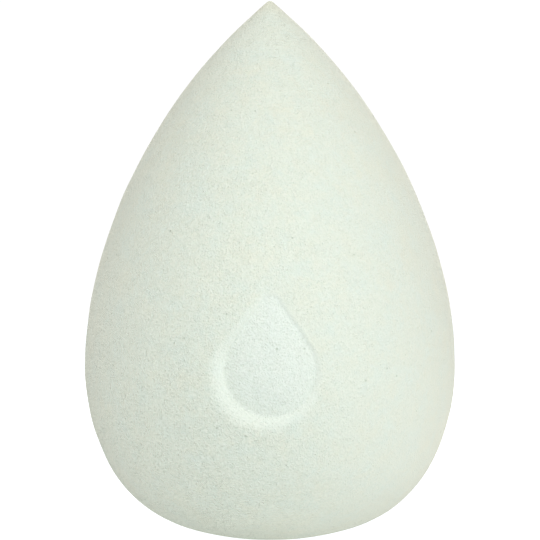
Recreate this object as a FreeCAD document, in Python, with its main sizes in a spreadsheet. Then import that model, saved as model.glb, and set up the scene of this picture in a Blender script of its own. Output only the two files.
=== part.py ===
import FreeCAD
import Part
import Sketcher
import math
import os

# Driving dimensions: lengths in millimetres, spans and draft in degrees.
SIZES = {
    # Teardrop outline: overall sizes, then the arcs that draw it from the foot to the tip.
    "height": 60,
    "diameter": 41.3,
    "belly_height": 19.2,
    "foot_radius": 3,
    "shoulder_span": 46.8,
    "lower_belly_span": 26.6,
    "lower_belly_radius": 23.4,
    "upper_belly_span": 13.5,
    "upper_belly_radius": 41.4,
    "tip_radius": 0.55,
    # Fine, dense layer that forms against the mould.
    "skin_thickness": 0.4,
    # Debossed drop on the front, outlined on a plane that stands run_out ahead of the belly.
    "mark_height": 19.2,
    "mark_radius": 5.9,
    "mark_tip_rise": 6.8,
    "mark_tip_radius": 2,
    "mark_run_out": 0.5,
    "mark_depth": 0.9,
    "mark_draft": 30,
    "mark_rim_radius": 0.7,
    "mark_floor_radius": 0.5,
}

# How far each layer's own outside lies below the face of the sponge.
OUTSIDE_INSET = "0"
CORE_INSET = "sizes.skin_thickness"

# Numbers by which a sketch knows the points of its lines and arcs, its origin and its upright axis.
START, END, CENTRE = 1, 2, 3
ORIGIN, UPRIGHT = -1, -2

# The floor of the mark carries the belly's arcs this far past the widest point, each way.
FLOOR_SPAN = math.radians(45)


def make_sheet(doc):
    sheet = doc.addObject("Spreadsheet::Sheet", "sizes")
    for row, (alias, value) in enumerate(SIZES.items(), start=1):
        sheet.set(f"A{row}", alias)
        sheet.set(f"B{row}", str(value))
        sheet.setAlias(f"B{row}", alias)
    doc.recompute()


def point(x, z):
    return FreeCAD.Vector(x, z, 0)


def along(centre, radius, angle):
    return centre + point(radius * math.cos(angle), radius * math.sin(angle))


def line(start, end):
    return Part.LineSegment(start, end)


def arc(centre, radius, start_angle, end_angle):
    circle = Part.Circle(centre, FreeCAD.Vector(0, 0, 1), radius)
    return Part.ArcOfCircle(circle, start_angle, end_angle)


def front_sketch(body, name):
    # Sketch on the upright plane through the axis: its x is the object's X and its y the object's Z.
    sketch = body.newObject("Sketcher::SketchObject", name)
    plane = next(f for f in body.Origin.OriginFeatures if f.Role == "XZ_Plane")
    sketch.AttachmentSupport = [(plane, "")]
    sketch.MapMode = "FlatFace"
    return sketch


def fix(sketch, kind, *where):
    return sketch.addConstraint(Sketcher.Constraint(kind, *where))


def size(sketch, kind, where, start_value, formula):
    number = fix(sketch, kind, *where, start_value)
    sketch.setExpression(f"Constraints[{number}]", formula)


def turn(body, outline, name):
    turned = body.newObject("PartDesign::Revolution", name)
    turned.Profile = outline
    turned.ReferenceAxis = (outline, ["V_Axis"])
    turned.Angle = 360
    body.Document.recompute()


def cut_away(body, tool, name):
    volume = body.Shape.Volume
    cut = body.newObject("PartDesign::Boolean", name)
    cut.Type = "Cut"
    cut.setObjects([tool])
    body.Document.recompute()
    if not body.Shape.Volume < volume:
        raise RuntimeError(f"{name} took nothing away")


def belly_centre(radius):
    # The belly's two arcs have their centres level with the widest point, where they meet upright.
    return point(SIZES["diameter"] / 2 - radius, SIZES["belly_height"])


def bind_belly(sketch, low, high, inset):
    fix(sketch, "Tangent", low, END, high, START)
    fix(sketch, "Horizontal", low, CENTRE, low, END)
    half_width = SIZES["diameter"] / 2
    size(sketch, "DistanceX", (ORIGIN, START, low, END), half_width, f"sizes.diameter / 2 - {inset}")
    size(sketch, "DistanceY", (ORIGIN, START, low, END), SIZES["belly_height"], "sizes.belly_height")
    size(sketch, "Radius", (low,), SIZES["lower_belly_radius"], f"sizes.lower_belly_radius - {inset}")
    size(sketch, "Radius", (high,), SIZES["upper_belly_radius"], f"sizes.upper_belly_radius - {inset}")


def teardrop(doc, name, inset):
    # Teardrop turned from six tangent arcs: crown, shoulder, two for the belly, flank and tip.
    # The crown's, shoulder's and flank's radii follow from the others, and start from the sizes below.
    body = doc.addObject("PartDesign::Body", name)
    outline = front_sketch(body, f"{name}_outline")

    low_radius = SIZES["lower_belly_radius"]
    low_span = math.radians(SIZES["lower_belly_span"])
    low_centre = belly_centre(low_radius)
    low_end = along(low_centre, low_radius, -low_span)
    high_radius = SIZES["upper_belly_radius"]
    high_span = math.radians(SIZES["upper_belly_span"])
    high_centre = belly_centre(high_radius)
    high_end = along(high_centre, high_radius, high_span)

    # The shoulder turns in by its span, and the crown runs on from there to meet the axis squarely.
    crown_angle = low_span + math.radians(SIZES["shoulder_span"])
    width_share = math.cos(low_span) - math.cos(crown_angle)
    fall = (math.sin(crown_angle) - math.sin(low_span)) / width_share
    crown_fall = 1 - math.sin(crown_angle) - fall * math.cos(crown_angle)
    crown_radius = (low_end.y - fall * low_end.x) / crown_fall
    shoulder_radius = (low_end.x - crown_radius * math.cos(crown_angle)) / width_share
    shoulder_centre = along(low_end, shoulder_radius, math.pi - low_span)
    foot_radius = SIZES["foot_radius"]
    foot_angle = math.acos(foot_radius / crown_radius)

    # The flank leaves the upper belly in line with it and touches the small round at the tip.
    height = SIZES["height"]
    tip_radius = SIZES["tip_radius"]
    tip_centre = point(0, height - tip_radius)
    outward = along(point(0, 0), 1, high_span)
    to_joint = high_end - tip_centre
    flank_spare = 2 * (outward.dot(to_joint) - tip_radius)
    flank_radius = (to_joint.dot(to_joint) - tip_radius**2) / flank_spare
    flank_centre = high_end - outward * flank_radius
    to_tip = tip_centre - flank_centre
    tip_angle = math.atan2(to_tip.y, to_tip.x)

    curves = [
        line(point(0, 0), point(foot_radius, 0)),
        arc(point(0, crown_radius), crown_radius, -foot_angle, -crown_angle),
        arc(shoulder_centre, shoulder_radius, -crown_angle, -low_span),
        arc(low_centre, low_radius, -low_span, 0),
        arc(high_centre, high_radius, 0, high_span),
        arc(flank_centre, flank_radius, high_span, tip_angle),
        arc(tip_centre, tip_radius, tip_angle, math.pi / 2),
        line(point(0, height), point(0, 0)),
    ]
    foot, crown, shoulder, low, high, flank, tip, axis = outline.addGeometry(curves, False)
    fix(outline, "Horizontal", foot)
    fix(outline, "Vertical", axis)
    fix(outline, "PointOnObject", foot, START, UPRIGHT)
    fix(outline, "Coincident", foot, END, crown, START)
    fix(outline, "Coincident", tip, END, axis, START)
    fix(outline, "Coincident", axis, END, foot, START)
    fix(outline, "PointOnObject", crown, CENTRE, UPRIGHT)
    fix(outline, "PointOnObject", tip, CENTRE, UPRIGHT)
    fix(outline, "Tangent", crown, END, shoulder, START)
    fix(outline, "Tangent", shoulder, END, low, START)
    fix(outline, "Tangent", high, END, flank, START)
    fix(outline, "Tangent", flank, END, tip, START)
    bind_belly(outline, low, high, inset)
    size(outline, "Angle", (low,), low_span, "sizes.lower_belly_span * 1 deg")
    size(outline, "Angle", (high,), high_span, "sizes.upper_belly_span * 1 deg")
    size(outline, "Angle", (shoulder,), crown_angle - low_span, "sizes.shoulder_span * 1 deg")
    size(outline, "DistanceX", (foot, START, foot, END), foot_radius, "sizes.foot_radius")
    size(outline, "DistanceY", (ORIGIN, START, foot, START), 0, inset)
    size(outline, "DistanceY", (ORIGIN, START, tip, END), height, f"sizes.height - {inset}")
    size(outline, "Radius", (tip,), tip_radius, f"sizes.tip_radius - {inset}")
    turn(body, outline, f"{name}_turned")
    return body


def mark_floor(doc, name, inset):
    # Solid of revolution whose face lies the mark's depth below the belly, so that the floor follows it.
    body = doc.addObject("PartDesign::Body", f"{name}_mark_floor")
    outline = front_sketch(body, f"{name}_mark_floor_outline")
    low_radius = SIZES["lower_belly_radius"]
    low_centre = belly_centre(low_radius)
    low_end = along(low_centre, low_radius, -FLOOR_SPAN)
    high_radius = SIZES["upper_belly_radius"]
    high_centre = belly_centre(high_radius)
    high_end = along(high_centre, high_radius, FLOOR_SPAN)
    curves = [
        line(point(0, low_end.y), low_end),
        arc(low_centre, low_radius, -FLOOR_SPAN, 0),
        arc(high_centre, high_radius, 0, FLOOR_SPAN),
        line(high_end, point(0, high_end.y)),
        line(point(0, high_end.y), point(0, low_end.y)),
    ]
    bottom, low, high, top, axis = outline.addGeometry(curves, False)
    fix(outline, "Horizontal", bottom)
    fix(outline, "Horizontal", top)
    fix(outline, "PointOnObject", bottom, START, UPRIGHT)
    fix(outline, "PointOnObject", top, END, UPRIGHT)
    fix(outline, "Coincident", bottom, END, low, START)
    fix(outline, "Coincident", high, END, top, START)
    fix(outline, "Coincident", top, END, axis, START)
    fix(outline, "Coincident", axis, END, bottom, START)
    fix(outline, "Angle", low, FLOOR_SPAN)
    fix(outline, "Angle", high, FLOOR_SPAN)
    bind_belly(outline, low, high, f"({inset} + sizes.mark_depth)")
    turn(body, outline, f"{name}_mark_floor_turned")
    return body


def mark_space(doc, name, inset):
    # What the mark takes out of a layer: a drop with drafted walls that stops at the floor.
    body = doc.addObject("PartDesign::Body", f"{name}_mark_space")
    drop = front_sketch(body, f"{name}_mark_outline")
    drop.setExpression("AttachmentOffset.Base.z", "sizes.diameter / 2 + sizes.mark_run_out")
    radius = SIZES["mark_radius"]
    tip_radius = SIZES["mark_tip_radius"]
    rise = SIZES["mark_tip_rise"]
    centre = point(0, SIZES["mark_height"])
    tip_centre = centre + point(0, rise)
    right_angle = math.asin((radius - tip_radius) / rise)
    left_angle = math.pi - right_angle
    curves = [
        arc(centre, radius, left_angle, right_angle + 2 * math.pi),
        line(along(centre, radius, right_angle), along(tip_centre, tip_radius, right_angle)),
        arc(tip_centre, tip_radius, right_angle, left_angle),
        line(along(tip_centre, tip_radius, left_angle), along(centre, radius, left_angle)),
    ]
    bowl, right, tip, left = drop.addGeometry(curves, False)
    fix(drop, "Tangent", bowl, END, right, START)
    fix(drop, "Tangent", right, END, tip, START)
    fix(drop, "Tangent", tip, END, left, START)
    fix(drop, "Tangent", left, END, bowl, START)
    fix(drop, "PointOnObject", bowl, CENTRE, UPRIGHT)
    fix(drop, "PointOnObject", tip, CENTRE, UPRIGHT)
    # Drafted walls stay an inset apart when the outline grows by the inset over the draft's cosine.
    growth = f"{inset} / cos(sizes.mark_draft * 1 deg)"
    size(drop, "Radius", (bowl,), radius, f"sizes.mark_radius + {growth}")
    size(drop, "Radius", (tip,), tip_radius, f"sizes.mark_tip_radius + {growth}")
    size(drop, "DistanceY", (ORIGIN, START, bowl, CENTRE), centre.y, "sizes.mark_height")
    size(drop, "DistanceY", (bowl, CENTRE, tip, CENTRE), rise, "sizes.mark_tip_rise")

    # The walls reach in as far as the floor does where the belly has curved away most.
    half_width = "sizes.diameter / 2"
    side_fall = f"{half_width} - sqrt(({half_width}) ^ 2 - sizes.mark_radius ^ 2)"
    top_reach = "(sizes.mark_height + sizes.mark_tip_rise + sizes.mark_tip_radius - sizes.belly_height)"
    top_fall = f"sizes.upper_belly_radius - sqrt(sizes.upper_belly_radius ^ 2 - {top_reach} ^ 2)"
    floor_reach = f"sizes.mark_depth + {inset} + max({side_fall}; {top_fall})"
    walls = body.newObject("PartDesign::Pad", f"{name}_mark_walls")
    walls.Profile = drop
    walls.Reversed = True
    walls.setExpression("Length", f"sizes.mark_run_out + {floor_reach}")
    walls.setExpression("TaperAngle", "-sizes.mark_draft")
    doc.recompute()
    cut_away(body, mark_floor(doc, name, inset), f"{name}_mark_stop")
    return body


def round_mark_edge(body, name, order, formula):
    # The mark's edges lie wholly in front of the axis: the lowest is the rim's, the next the floor's.
    base = body.Tip
    edges = enumerate(base.Shape.Edges, start=1)
    front_limit = -SIZES["diameter"] / 4
    mark_edges = [(edge.BoundBox.ZMin, n) for n, edge in edges if edge.BoundBox.YMax < front_limit]
    fillet = body.newObject("PartDesign::Fillet", name)
    fillet.Base = (base, [f"Edge{sorted(mark_edges)[order][1]}"])
    fillet.setExpression("Radius", formula)
    body.Document.recompute()


def deboss(body, inset):
    name = body.Name
    cut_away(body, mark_space(body.Document, name, inset), f"{name}_debossed")
    round_mark_edge(body, f"{name}_mark_floor_round", 1, f"sizes.mark_floor_radius + {inset}")
    round_mark_edge(body, f"{name}_mark_rim_round", 0, f"sizes.mark_rim_radius - {inset}")


def check(doc, pieces):
    for item in doc.Objects:
        if "Invalid" in item.State or "Error" in item.State:
            raise RuntimeError(f"{item.Label} failed: {item.State}")
    for piece in pieces:
        if piece.Shape.isNull() or not piece.Shape.isValid() or len(piece.Shape.Solids) != 1:
            raise RuntimeError(f"{piece.Label} isn't one sound solid")


def main():
    doc = FreeCAD.newDocument("makeup_sponge")
    make_sheet(doc)

    outside = teardrop(doc, "outside", OUTSIDE_INSET)
    deboss(outside, OUTSIDE_INSET)

    core = teardrop(doc, "core", CORE_INSET)
    deboss(core, CORE_INSET)
    core.Label = "foam_core"

    # The skin is what lies between the sponge's face and the core that fills it.
    skin = doc.addObject("Part::Cut", "skin")
    skin.Base = outside
    skin.Tool = core
    skin.Label = "outer_skin"
    doc.recompute()

    pieces = [core, skin]
    check(doc, pieces)
    os.makedirs("parts", exist_ok=True)
    for piece in pieces:
        piece.Shape.exportStep(f"parts/{piece.Label}.step")
        print(f"{piece.Label}: {piece.Shape.Volume / 1000:.3f} cm3")


main()
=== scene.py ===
import math

import bpy
import numpy as np
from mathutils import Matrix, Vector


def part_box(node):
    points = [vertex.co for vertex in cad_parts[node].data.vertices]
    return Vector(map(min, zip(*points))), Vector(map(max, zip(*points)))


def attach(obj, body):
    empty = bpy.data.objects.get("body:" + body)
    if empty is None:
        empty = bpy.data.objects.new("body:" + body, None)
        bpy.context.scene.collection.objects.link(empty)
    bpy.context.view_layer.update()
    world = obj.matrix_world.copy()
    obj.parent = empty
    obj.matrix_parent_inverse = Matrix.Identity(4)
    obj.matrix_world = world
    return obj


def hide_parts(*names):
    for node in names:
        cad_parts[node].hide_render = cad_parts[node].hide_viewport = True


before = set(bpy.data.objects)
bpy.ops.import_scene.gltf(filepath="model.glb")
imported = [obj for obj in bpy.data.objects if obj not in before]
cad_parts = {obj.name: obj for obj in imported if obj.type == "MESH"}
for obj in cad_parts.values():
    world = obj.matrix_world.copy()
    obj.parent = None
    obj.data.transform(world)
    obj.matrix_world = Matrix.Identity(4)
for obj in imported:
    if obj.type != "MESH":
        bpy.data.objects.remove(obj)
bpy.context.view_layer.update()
skinLow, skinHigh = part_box("outer_skin")
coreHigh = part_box("foam_core")[1]

# outline of the sponge from the foot to the tip, in metres and degrees
teardrop = {
    "height": skinHigh.z - skinLow.z,
    "bellyRadius": (skinHigh.x - skinLow.x) / 2,
    "bellyHeight": 0.0192,
    "footRadius": 0.003,
    "shoulderSpan": 46.8,
    "lowerBellySpan": 26.6,
    "lowerBellyRadius": 0.0234,
    "upperBellySpan": 13.5,
    "upperBellyRadius": 0.0414,
    "tipRadius": 0.00055,
}

# the drop pressed into the front of the belly
pressedDrop = {
    "height": 0.0192,        # middle of the round end
    "radius": 0.0050,        # of the round end, where the wall meets the floor
    "rise": 0.0068,          # from there to the middle of the small end
    "smallRadius": 0.0011,
    "depth": 0.0008,         # at the foot of the wall
    "rimWidth": 0.0011,      # of the soft bend into the wall
    "floorWidth": 0.00013,   # of the tight bend onto the floor
    "swell": 0.00036,        # the floor's rise again towards its middle
    "swellWidth": 0.0042,
    "soft": (-0.68, -0.73),  # direction across and up in which the rim is softer and the floor deeper
    "softShare": 0.77,       # how much wider the rim is there
    "deepShare": 0.58,       # how much deeper the floor is there
    "tiny": 1e-6,            # keeps the middle, which has no direction, from a division by 0
}


def ray(degrees):
    # Unit vectors in the plane of the outline: cosine outwards, sine upwards.
    angle = np.radians(degrees)
    return np.stack([np.cos(angle), np.sin(angle)], -1)


def outlineArcs(shape):
    # Centre, radius, first and last angle of the six arcs above the foot, each going on in the direction in
    # which the one before it ends. The belly arcs are given. The flank also touches the tip's circle from
    # inside, and the shoulder runs on into a crown whose centre is on the axis and whose edge is the foot's:
    # that makes a square equation.
    tip = np.array([0, shape["height"] - shape["tipRadius"]])
    lower = np.array([shape["bellyRadius"] - shape["lowerBellyRadius"], shape["bellyHeight"]])
    upper = np.array([shape["bellyRadius"] - shape["upperBellyRadius"], shape["bellyHeight"]])

    upward = ray(shape["upperBellySpan"])
    flankStart = upper + shape["upperBellyRadius"] * upward
    span = flankStart - tip
    flankRadius = (span @ span - shape["tipRadius"] ** 2) / (2 * (upward @ span - shape["tipRadius"]))
    flank = flankStart - flankRadius * upward
    flankEnd = math.degrees(math.atan2(tip[1] - flank[1], tip[0] - flank[0]))

    shoulderTop = -shape["lowerBellySpan"]
    crownTop = shoulderTop - shape["shoulderSpan"]
    shoulderStart = lower + shape["lowerBellyRadius"] * ray(shoulderTop)
    turn = ray(shoulderTop) - ray(crownTop)
    most = shoulderStart[0] / turn[0]             # the shoulder's radius is most - share * the crown's
    share = ray(crownTop)[0] / turn[0]
    base = shoulderStart[1] - turn[1] * most      # and the crown's centre is at base + slope * its radius
    slope = turn[1] * share - ray(crownTop)[1]
    squareTerms = [1 - slope ** 2, -2 * base * slope, -(shape["footRadius"] ** 2 + base ** 2)]
    crownRadius = np.roots(squareTerms).real.max()
    crown = np.array([0, base + slope * crownRadius])
    crownStart = math.degrees(math.atan2(-crown[1], shape["footRadius"]))
    shoulderRadius = most - share * crownRadius
    shoulder = shoulderStart - shoulderRadius * ray(shoulderTop)
    return [
        (crown, crownRadius, crownStart, crownTop),
        (shoulder, shoulderRadius, crownTop, shoulderTop),
        (lower, shape["lowerBellyRadius"], shoulderTop, 0),
        (upper, shape["upperBellyRadius"], 0, shape["upperBellySpan"]),
        (flank, flankRadius, shape["upperBellySpan"], flankEnd),
        (tip, shape["tipRadius"], flankEnd, 90),
    ]


def outline(shape, steps=400):
    # Half outline as points and outward normals: the foot's flat, then each arc as centre + radius * ray.
    across = np.linspace(0, shape["footRadius"], steps)
    points = [np.stack([across, np.zeros(steps)], -1)]
    normals = [np.tile([0.0, -1.0], (steps, 1))]
    for centre, radius, first, last in outlineArcs(shape):
        outward = ray(np.linspace(first, last, steps))
        points.append(centre + radius * outward)
        normals.append(outward)
    return np.concatenate(points), np.concatenate(normals)


def crowded(places, weight, count):
    # Picks count places so that the weight summed between two neighbours is everywhere the same.
    steps = np.diff(places) * (weight[1:] + weight[:-1]) / 2
    total = np.concatenate([[0], np.cumsum(steps)])
    return np.interp(np.linspace(0, total[-1], count), total, places)


def dropDistance(x, z, drop):
    # Distance from a drop's edge in the front plane, negative inside: a large and a small circle with their
    # two shared tangents. By the height along the tangent, the nearest thing is one circle, the other one or
    # the line.
    x, z = np.abs(x), z - drop["height"]
    lean = (drop["radius"] - drop["smallRadius"]) / drop["rise"]
    upright = math.sqrt(1 - lean ** 2)
    along = upright * z - lean * x
    large = np.hypot(x, z) - drop["radius"]
    small = np.hypot(x, z - drop["rise"]) - drop["smallRadius"]
    side = upright * x + lean * z - drop["radius"]
    return np.where(along < 0, large, np.where(along > upright * drop["rise"], small, side))


def dropDepth(x, z, drop):
    # Depth of the pressed drop: a curve bending down over the rim's width and back to level over the floor's,
    # two parabolas that share one slope where they meet, less a soft swell of the floor. Towards one side the
    # rim is wider, by the cosine of the direction from the middle, and the floor deeper, by the distance.
    # Also how far each place is pressed, from 0 outside the rim to 1 on the floor.
    up = z - drop["height"]
    towards = x * drop["soft"][0] + up * drop["soft"][1]
    cosine = towards / np.maximum(np.hypot(x, up), drop["tiny"])
    rim, floor = drop["rimWidth"] * (1 + drop["softShare"] * cosine), drop["floorWidth"]
    inside = -dropDistance(x, z, drop)
    wall = np.clip(inside + rim + floor, 0, rim + floor)
    bend = wall ** 2 / (rim * (rim + floor))
    level = 1 - (rim + floor - wall) ** 2 / (floor * (rim + floor))
    past = np.clip(inside / drop["swellWidth"], 0, 1)
    lean = 1 + drop["deepShare"] * towards / drop["radius"]
    pressed = np.where(wall < rim, bend, level)
    return drop["depth"] * lean * pressed - drop["swell"] * past * (2 - past), pressed


def waves(points, lengths, count, seed):
    # Even noise of about -1 to 1: the sum of many sine waves with random directions, lengths and starts, over
    # the root of their number.
    random = np.random.default_rng(seed)
    directions = random.normal(size=(3, count))
    directions /= np.linalg.norm(directions, axis=0)
    lengths = random.uniform(*lengths, size=count)
    starts = random.uniform(0, 2 * np.pi, count)
    phase = points @ (2 * np.pi * directions / lengths) + starts
    return np.sin(phase).sum(-1) / math.sqrt(count)


def layerGrid(shape, drop, layer, angleSteps=2000):
    # The teardrop as rings of points: the outline turned about the axis, with angle 0 at the front, then
    # moved inwards along its normal by the layer's inset and the drop's depth, and in and out by the
    # unevenness. Rows and columns crowd where the drop and the tip are.
    points, normals = outline(shape)
    length = np.concatenate([[0], np.cumsum(np.hypot(*np.diff(points, axis=0).T))])
    height = points[:, 1]
    dropMiddle = drop["height"] + drop["rise"] / 3
    toDrop = (height - dropMiddle) / layer["dropReach"]
    toTip = (shape["height"] - height) / layer["tipReach"]
    weight = 1 + layer["dropCrowding"] * np.exp(-toDrop ** 4) + layer["tipCrowding"] * np.exp(-toTip)
    rows = crowded(length, weight, layer["rows"])
    angles = np.linspace(-np.pi, np.pi, angleSteps)
    weight = 1 + layer["frontCrowding"] * np.exp(-(angles / layer["frontReach"]) ** 4)
    columns = crowded(angles, weight, layer["columns"] + 1)

    out, up = (np.interp(rows, length, part)[:, None] for part in points.T)
    outNormal, upNormal = (np.interp(rows, length, part)[:, None] for part in normals.T)
    right, back = np.sin(columns[None, :-1]), -np.cos(columns[None, :-1])
    place = np.stack(np.broadcast_arrays(out * right, out * back, up), -1)
    normal = np.stack(np.broadcast_arrays(outNormal * right, outNormal * back, upNormal), -1)
    front = place[..., 1] < 0
    depth, pressed = np.where(front, dropDepth(place[..., 0], place[..., 2], drop), 0)
    depth = depth + layer["inset"]
    noise = waves(place, layer["unevenLengths"], layer["unevenWaves"], layer["unevenSeed"])
    uneven = layer["unevenness"] * noise * np.clip(place[..., 2] / layer["unevenFrom"], 0, 1)
    place = place - normal * (depth - uneven)[..., None]
    return place, pressed, rows / length[-1], (columns + np.pi) / (2 * np.pi)


def closedMesh(name, grid, pressed, rows, columns):
    # One skin from rings of points: quads between two rings, and at each end a fan of triangles to the
    # middle. The bake map has the angle across and the length along the outline upwards. How far each place
    # is pressed, from 0 to 1, is kept with the points.
    rings, around = len(grid) - 2, grid.shape[1]
    points = np.concatenate([grid[1:-1].reshape(-1, 3), grid[:1, 0], grid[-1:, 0]])
    ring, column = np.mgrid[0:rings - 1, 0:around]
    after = (column + 1) % around
    quads = np.stack([ring * around + column, ring * around + after,
                      (ring + 1) * around + after, (ring + 1) * around + column], -1)
    one, two = np.arange(around), (np.arange(around) + 1) % around
    last = (rings - 1) * around
    lowFan = np.stack([np.full(around, rings * around), two, one], -1)
    highFan = np.stack([last + one, last + two, np.full(around, rings * around + 1)], -1)
    mesh = bpy.data.meshes.new(name)
    mesh.from_pydata(points, [], quads.reshape(-1, 4).tolist() + lowFan.tolist() + highFan.tolist())

    across = np.stack([columns[column], columns[column + 1], columns[column + 1], columns[column]], -1)
    along = np.stack([rows[ring + 1], rows[ring + 1], rows[ring + 2], rows[ring + 2]], -1)
    left, right, middle = columns[:-1], columns[1:], (columns[:-1] + columns[1:]) / 2
    low, first = np.full(around, rows[0]), np.full(around, rows[1])
    high, final = np.full(around, rows[-1]), np.full(around, rows[-2])
    quadMap = np.stack([across, along], -1)
    lowMap = np.stack([np.stack([middle, right, left], -1), np.stack([low, first, first], -1)], -1)
    highMap = np.stack([np.stack([left, right, middle], -1), np.stack([final, final, high], -1)], -1)
    mapped = np.concatenate([corners.reshape(-1, 2) for corners in (quadMap, lowMap, highMap)])
    bakeMap = mesh.uv_layers.new(name="OFBake")
    bakeMap.uv.foreach_set("vector", mapped.ravel())
    kept = mesh.attributes.new("pressed", "FLOAT", "POINT")
    kept.data.foreach_set("value", np.concatenate([pressed[1:-1].ravel(), pressed[:1, 0], pressed[-1:, 0]]))
    mesh.shade_smooth()
    mesh.validate()
    return mesh


def addNode(tree, kind, inputs=None, **settings):
    # Adds a node with its own settings, and gives each named input a value, or a link where it is a socket.
    made = tree.nodes.new(kind)
    for name, value in settings.items():
        setattr(made, name, value)
    for name, value in (inputs or {}).items():
        if isinstance(value, bpy.types.NodeSocket):
            tree.links.new(value, made.inputs[name])
        else:
            made.inputs[name].default_value = value
    return made


def reach(tree, value, low, high, first, last):
    # Maps a value from the range low to high onto first to last, with a smooth start and end.
    inputs = {"Value": value, "From Min": low, "From Max": high, "To Min": first, "To Max": last}
    return addNode(tree, "ShaderNodeMapRange", inputs, interpolation_type="SMOOTHSTEP").outputs["Result"]


def worked(tree, operation, *values):
    # One sum, difference, product or other operation on two or three values.
    return addNode(tree, "ShaderNodeMath", dict(enumerate(values)), operation=operation).outputs[0]


def mixColour(tree, share, first, second):
    # The first colour with a share of the second one on it.
    inputs = {"Factor": share, "A": first, "B": second}
    return addNode(tree, "ShaderNodeMix", inputs, data_type="RGBA").outputs["Result"]


# the texture of the foam in both layers; sizes of cells and pinholes are in their own widths
foamTexture = {
    "cellHollow": (0.1, 0.6),       # a cell's hollow, from its deepest part to its edge
    "cellDepths": (0.35, 1),        # least and most depth of one cell
    "patchNoise": {"Detail": 2.0, "Roughness": 0.7},
    "patchRange": (0.3, 0.7),
    "patchDepths": (0.85, 1),       # depth outside and inside a patch
    "grainNoise": {"Detail": 1.0, "Roughness": 0.5},
    "grainRange": (0.25, 0.75),
    "cellShare": 0.6,               # of the hollows, by the cells
    "grainShare": 0.6,              # and by the finer grain
    "pinholeHollow": (0.025, 0.065),
    "cloudNoise": {"Detail": 4.0, "Roughness": 0.75},
    "cloudRange": (0.4, 0.75),
}


def foamGroup(look):
    # Group with the pores of the foam: cells whose hollows are the pores, each with its own depth and a
    # little deeper in some patches, a finer grain over them, a few pinholes, and clouds for the tints.
    tree = bpy.data.node_groups.new("foamPores", "ShaderNodeTree")
    for name in ("Pores per m", "Patches per m", "Grain per m", "Pinholes per m", "Clouds per m"):
        tree.interface.new_socket(name, in_out="INPUT", socket_type="NodeSocketFloat")
    for name in ("Height", "Hollows", "Pinholes", "Warm cloud", "Cool cloud"):
        tree.interface.new_socket(name, in_out="OUTPUT", socket_type="NodeSocketFloat")
    given = addNode(tree, "NodeGroupInput").outputs
    place = addNode(tree, "ShaderNodeTexCoord").outputs["Object"]

    cells = addNode(tree, "ShaderNodeTexVoronoi", {"Vector": place, "Scale": given["Pores per m"]})
    hollows = reach(tree, cells.outputs["Distance"], *look["cellHollow"], 1, 0)
    chance = addNode(tree, "ShaderNodeSeparateColor", {"Color": cells.outputs["Color"]}).outputs["Red"]
    hollows = worked(tree, "MULTIPLY", hollows, reach(tree, chance, 0, 1, *look["cellDepths"]))
    patches = addNode(tree, "ShaderNodeTexNoise",
                      {"Vector": place, "Scale": given["Patches per m"]} | look["patchNoise"])
    deeper = reach(tree, patches.outputs["Fac"], *look["patchRange"], *look["patchDepths"])
    hollows = worked(tree, "MULTIPLY", hollows, deeper)
    grain = addNode(tree, "ShaderNodeTexNoise",
                    {"Vector": place, "Scale": given["Grain per m"]} | look["grainNoise"])
    dents = reach(tree, grain.outputs["Fac"], *look["grainRange"], 1, 0)
    hollows = worked(tree, "MULTIPLY", hollows, look["cellShare"])
    hollows = worked(tree, "MULTIPLY_ADD", dents, look["grainShare"], hollows)
    holes = addNode(tree, "ShaderNodeTexVoronoi", {"Vector": place, "Scale": given["Pinholes per m"]})
    pinholes = reach(tree, holes.outputs["Distance"], *look["pinholeHollow"], 1, 0)
    height = worked(tree, "MULTIPLY", worked(tree, "ADD", hollows, pinholes), -1)

    clouds = addNode(tree, "ShaderNodeTexNoise",
                     {"Vector": place, "Scale": given["Clouds per m"]} | look["cloudNoise"])
    cloud = addNode(tree, "ShaderNodeSeparateColor", {"Color": clouds.outputs["Color"]}).outputs
    results = {
        "Height": height,
        "Hollows": hollows,
        "Pinholes": pinholes,
        "Warm cloud": reach(tree, cloud["Red"], *look["cloudRange"], 0, 1),
        "Cool cloud": reach(tree, cloud["Green"], *look["cloudRange"], 0, 1),
    }
    addNode(tree, "NodeGroupOutput", results)
    return tree


foamPores = foamGroup(foamTexture)
print("foam texture ready")


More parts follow.
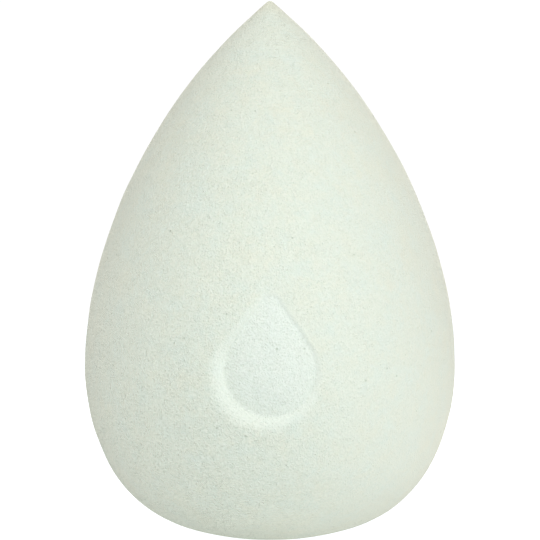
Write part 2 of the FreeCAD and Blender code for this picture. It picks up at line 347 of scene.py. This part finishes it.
def foamMaterial(name, finish):
    # Matte pale foam: its colour with warm and cool clouds, lighter where it is pressed, as the pressed
    # foam's tone and on the drop's rim as a painted highlight, warmer at the tip, with painted shade in
    # hollows and pinholes. The painted shade and the relief of the hollows are stronger on the side where
    # light grazes and weaker on the lit side, most of all near the foot, and weaker on the drop's rim, by
    # pressed * (1 - pressed), a quarter at most.
    material = bpy.data.materials.new(name)
    material.use_nodes = True
    tree = material.node_tree
    tree.nodes.clear()
    pores = addNode(tree, "ShaderNodeGroup", node_tree=foamPores)
    for socket, value in finish["pores"].items():
        pores.inputs[socket].default_value = value
    part = pores.outputs
    place = addNode(tree, "ShaderNodeTexCoord").outputs["Object"]
    across, _, height = addNode(tree, "ShaderNodeSeparateXYZ", {"Vector": place}).outputs
    # painted shade: pores darker towards the side where light grazes and near the foot, lighter on the lit
    # side
    grazedSide = reach(tree, across, *finish["sideReach"], finish["grazedShare"], -1)
    sideShift = reach(tree, height, *finish["lowReach"], *finish["sideShift"])
    poreShadeAndRelief = reach(tree, height, *finish["lowReach"], *finish["poreShadeAndRelief"])
    poreShadeAndRelief = worked(tree, "MULTIPLY_ADD", grazedSide, sideShift, poreShadeAndRelief)
    pressed = addNode(tree, "ShaderNodeAttribute", attribute_name="pressed").outputs["Fac"]
    rim = worked(tree, "MULTIPLY", pressed, worked(tree, "SUBTRACT", 1, pressed))
    # painted highlight: less pore shade and relief on the drop's rim
    poreShadeAndRelief = worked(tree, "MULTIPLY", poreShadeAndRelief, reach(tree, rim, 0, 1 / 4, 1, finish["rimPoreShadeAndRelief"]))

    warm = worked(tree, "MULTIPLY", part["Warm cloud"], finish["warmShare"])
    colour = mixColour(tree, warm, finish["colour"], finish["warm"])
    cool = worked(tree, "MULTIPLY", part["Cool cloud"], finish["coolShare"])
    colour = mixColour(tree, cool, colour, finish["cool"])
    # lighter where pressed: the pressed floor's own paler tone, and on the drop's rim a painted highlight
    tint = worked(tree, "MULTIPLY", worked(tree, "SQRT", pressed), finish["pressedAndRimHighlightShare"])
    colour = mixColour(tree, tint, colour, finish["pressed"])
    tip = reach(tree, height, finish["tipFrom"], finish["tipTo"], 0, finish["tipShare"])
    colour = mixColour(tree, tip, colour, finish["tipColour"])
    # painted shade: the hollows and pinholes of the pores are darkened in the colour
    hollows = worked(tree, "MULTIPLY", part["Hollows"], poreShadeAndRelief)
    shade = worked(tree, "MULTIPLY", hollows, finish["poreShadeShare"])
    colour = mixColour(tree, shade, colour, finish["poreShade"])
    shade = worked(tree, "MULTIPLY", part["Pinholes"], finish["pinholeShadeShare"])
    colour = mixColour(tree, shade, colour, finish["poreShade"])

    relief = worked(tree, "MULTIPLY", part["Height"], poreShadeAndRelief)
    bump = addNode(tree, "ShaderNodeBump", {"Height": relief, "Distance": finish["relief"]})
    shader = addNode(tree, "ShaderNodeBsdfPrincipled",
                     {"Base Color": colour, "Normal": bump.outputs["Normal"]} | finish["shader"])
    addNode(tree, "ShaderNodeOutputMaterial", {"Surface": shader.outputs["BSDF"]})
    return material


def foamPiece(name, layer, material):
    # A closed layer as an object at the origin, with its place in its mesh.
    mesh = closedMesh(name, *layer)
    mesh.materials.append(material)
    piece = bpy.data.objects.new(name, mesh)
    bpy.context.scene.collection.objects.link(piece)
    print(name, len(mesh.vertices), "points,", len(mesh.loop_triangles), "triangles")
    return piece


# the outer skin: fine pores, a velvety matte face
skin = {
    "layer": {
        "inset": 0.0,
        "rows": 226,
        "columns": 436,
        "dropReach": 0.0082,
        "dropCrowding": 7.0,
        "tipReach": 0.0006,
        "tipCrowding": 10.0,
        "frontReach": 0.36,
        "frontCrowding": 7.0,
        "unevenness": 0.00002,
        "unevenLengths": (0.003, 0.009),
        "unevenWaves": 60,
        "unevenSeed": 4,
        "unevenFrom": 0.002,
    },
    "finish": {
        "pores": {"Pores per m": 4300.0, "Patches per m": 900.0, "Grain per m": 4900.0,
                  "Pinholes per m": 440.0, "Clouds per m": 300.0},
        "colour": (0.849, 0.906, 0.801, 1),
        "warm": (0.88, 0.888, 0.74, 1),
        "warmShare": 0.5,
        "cool": (0.79, 0.912, 0.855, 1),
        "coolShare": 0.5,
        # the pressed floor's paler tone, which on the drop's rim is a painted highlight
        "pressed": (0.90, 0.98, 0.92, 1),
        "pressedAndRimHighlightShare": 0.7,
        # painted shade in the pores' hollows and pinholes
        "poreShade": (0.51, 0.63, 0.50, 1),
        "poreShadeShare": 0.34,
        "pinholeShadeShare": 0.6,
        "poreShadeAndRelief": (1.09, 0.93),          # depth of the hollows' painted shade and relief near the foot and higher up
        "sideShift": (0.66, 0.28),           # how much of that is taken off there on the lit side
        "sideReach": (-0.010, 0.020),   # from the side where light grazes to the lit side
        "grazedShare": 0.4,                  # share of that which is added on the grazed side, as more painted shade
        "lowReach": (0.008, 0.030),     # where near the foot ends and higher up begins
        "rimPoreShadeAndRelief": 0.7,                # depth of the hollows' painted shade and relief on the drop's rim, of that beside it: a painted highlight
        "tipColour": (0.82, 0.79, 0.62, 1),
        "tipFrom": 0.0575,
        "tipTo": 0.060,
        "tipShare": 0.5,
        "relief": 0.000088,
        "shader": {"Roughness": 0.95, "Specular IOR Level": 0.15, "Sheen Weight": 0.78,
                   "Sheen Roughness": 0.6, "Sheen Tint": (1.0, 0.95, 0.80, 1)},
    },
}
skinPiece = foamPiece("sponge_skin", layerGrid(teardrop, pressedDrop, skin["layer"]),
                      foamMaterial("velvetSkin", skin["finish"]))

# the foam core under it: the same form inside the skin, with larger open cells
core = {
    "layer": {
        "inset": skinHigh.x - coreHigh.x,
        "rows": 110,
        "columns": 220,
        "dropReach": 0.0085,
        "dropCrowding": 2.2,
        "tipReach": 0.0006,
        "tipCrowding": 6.0,
        "frontReach": 0.36,
        "frontCrowding": 3.2,
        "unevenness": 0.0,
        "unevenLengths": (0.003, 0.009),
        "unevenWaves": 60,
        "unevenSeed": 4,
        "unevenFrom": 0.002,
    },
    "finish": {
        "pores": {"Pores per m": 2200.0, "Patches per m": 500.0, "Grain per m": 4200.0,
                  "Pinholes per m": 900.0, "Clouds per m": 160.0},
        "colour": (0.78, 0.86, 0.77, 1),
        "warm": (0.84, 0.85, 0.71, 1),
        "warmShare": 0.3,
        "cool": (0.75, 0.87, 0.83, 1),
        "coolShare": 0.25,
        "pressed": (0.78, 0.86, 0.77, 1),
        "pressedAndRimHighlightShare": 0.0,
        # painted shade in the pores' hollows and pinholes
        "poreShade": (0.42, 0.50, 0.43, 1),
        "poreShadeShare": 0.45,
        "pinholeShadeShare": 0.8,
        "poreShadeAndRelief": (1.0, 1.0),
        "sideShift": (0.0, 0.0),
        "sideReach": (-0.010, 0.020),
        "grazedShare": 0.4,
        "lowReach": (0.008, 0.030),
        "rimPoreShadeAndRelief": 1.0,
        "tipColour": (0.82, 0.79, 0.62, 1),
        "tipFrom": 0.0575,
        "tipTo": 0.060,
        "tipShare": 0.3,
        "relief": 0.00012,
        "shader": {"Roughness": 0.97, "Specular IOR Level": 0.1},
    },
}
corePiece = foamPiece("sponge_core", layerGrid(teardrop, pressedDrop, core["layer"]),
                      foamMaterial("openCellFoam", core["finish"]))

for piece, node, slot in ((skinPiece, "outer_skin", "skin"), (corePiece, "foam_core", "core")):
    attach(piece, "root")
    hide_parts(node)
print("pieces ride on the root body")

# pale floor and white surroundings
studio = {
    "floorSize": 4.0,
    "floorColour": (0.35, 0.35, 0.35, 1),
    "floorGlow": 0.525,          # lit from below, as on a light table
    "glowColour": (0.96, 1.0, 1.02, 1),
    "cameraGlow": 0.5,           # added for the camera only, so that the floor reads as plain white
    "ambient": (0.335, 0.335, 0.335, 1),
    "backdrop": (1.05, 1.05, 1.05, 1),
    "lightDistance": 0.6,        # from the middle of the sponge
    "lights": {
        "key": {"azimuth": 52, "elevation": 40, "size": 0.4, "power": 1.08},
        "front": {"azimuth": 2, "elevation": 6, "size": 0.5, "power": 1.62},
        "fill": {"azimuth": -50, "elevation": 50, "size": 0.5, "power": 0.72},
        "rear": {"azimuth": 180, "elevation": 20, "size": 0.35, "power": 1.8},
    },
}


def makeFloor(look):
    # A large flat square under the foot, matte and lit from below, brighter still where the camera looks.
    half = look["floorSize"] / 2
    mesh = bpy.data.meshes.new("floor")
    corners = [(-half, -half, 0), (half, -half, 0), (half, half, 0), (-half, half, 0)]
    mesh.from_pydata(corners, [], [(0, 1, 2, 3)])
    material = bpy.data.materials.new("paleFloor")
    material.use_nodes = True
    tree = material.node_tree
    tree.nodes.clear()
    matte = addNode(tree, "ShaderNodeBsdfDiffuse", {"Color": look["floorColour"]}).outputs["BSDF"]
    seen = addNode(tree, "ShaderNodeLightPath").outputs["Is Camera Ray"]
    strength = worked(tree, "MULTIPLY_ADD", seen, look["cameraGlow"], look["floorGlow"])
    glow = addNode(tree, "ShaderNodeEmission", {"Color": look["glowColour"], "Strength": strength})
    both = addNode(tree, "ShaderNodeAddShader", {0: matte, 1: glow.outputs["Emission"]}).outputs["Shader"]
    addNode(tree, "ShaderNodeOutputMaterial", {"Surface": both})
    mesh.materials.append(material)
    floor = bpy.data.objects.new("floor", mesh)
    bpy.context.scene.collection.objects.link(floor)
    return floor


def makeSurroundings(look):
    # Even light from all round, and plain white where the camera looks past the sponge.
    world = bpy.data.worlds.new("studio")
    bpy.context.scene.world = world
    world.use_nodes = True
    tree = world.node_tree
    tree.nodes.clear()
    seen = addNode(tree, "ShaderNodeLightPath").outputs["Is Camera Ray"]
    light = addNode(tree, "ShaderNodeBackground", {"Color": look["ambient"]}).outputs["Background"]
    white = addNode(tree, "ShaderNodeBackground", {"Color": look["backdrop"]}).outputs["Background"]
    both = addNode(tree, "ShaderNodeMixShader", {0: seen, 1: light, 2: white}).outputs["Shader"]
    addNode(tree, "ShaderNodeOutputWorld", {"Surface": both})


def makeLight(name, setup, target, distance):
    # A soft square light on a sphere about the target, by azimuth from the front and height above it.
    azimuth, elevation = math.radians(setup["azimuth"]), math.radians(setup["elevation"])
    away = np.array([math.sin(azimuth) * math.cos(elevation), -math.cos(azimuth) * math.cos(elevation),
                     math.sin(elevation)])
    data = bpy.data.lights.new(name, "AREA")
    data.size = setup["size"]
    data.energy = setup["power"]
    light = bpy.data.objects.new(name, data)
    bpy.context.scene.collection.objects.link(light)
    light.location = target + distance * away
    light.rotation_euler = (math.pi / 2 - elevation, 0, azimuth)


makeFloor(studio)
makeSurroundings(studio)
middle = np.array([0, 0, teardrop["height"] / 2])
for name, setup in studio["lights"].items():
    makeLight(name, setup, middle, studio["lightDistance"])
print("studio:", len(studio["lights"]), "soft lights")

# camera level in front of the sponge; rows count down from the top of the frame
camera = {
    "lens": 250.0,
    "sensor": 36.0,
    "frameRows": 540,
    "tipRow": 1.0,
    "footRow": 538.1,
}


def makeCamera(setup, shape):
    # The frame's height follows from the rows of tip and foot, and the distance from that and the lens.
    rowHeight = shape["height"] / (setup["footRow"] - setup["tipRow"])
    frameHeight = rowHeight * setup["frameRows"]
    data = bpy.data.cameras.new("camera")
    data.lens = setup["lens"]
    data.sensor_width = setup["sensor"]
    distance = frameHeight * setup["lens"] / setup["sensor"]
    made = bpy.data.objects.new("camera", data)
    bpy.context.scene.collection.objects.link(made)
    made.location = (0, -distance, (setup["footRow"] - setup["frameRows"] / 2) * rowHeight)
    made.rotation_euler = (math.pi / 2, 0, 0)
    bpy.context.scene.camera = made


makeCamera(camera, teardrop)
bpy.context.scene.view_settings.view_transform = "Standard"
print("camera set")
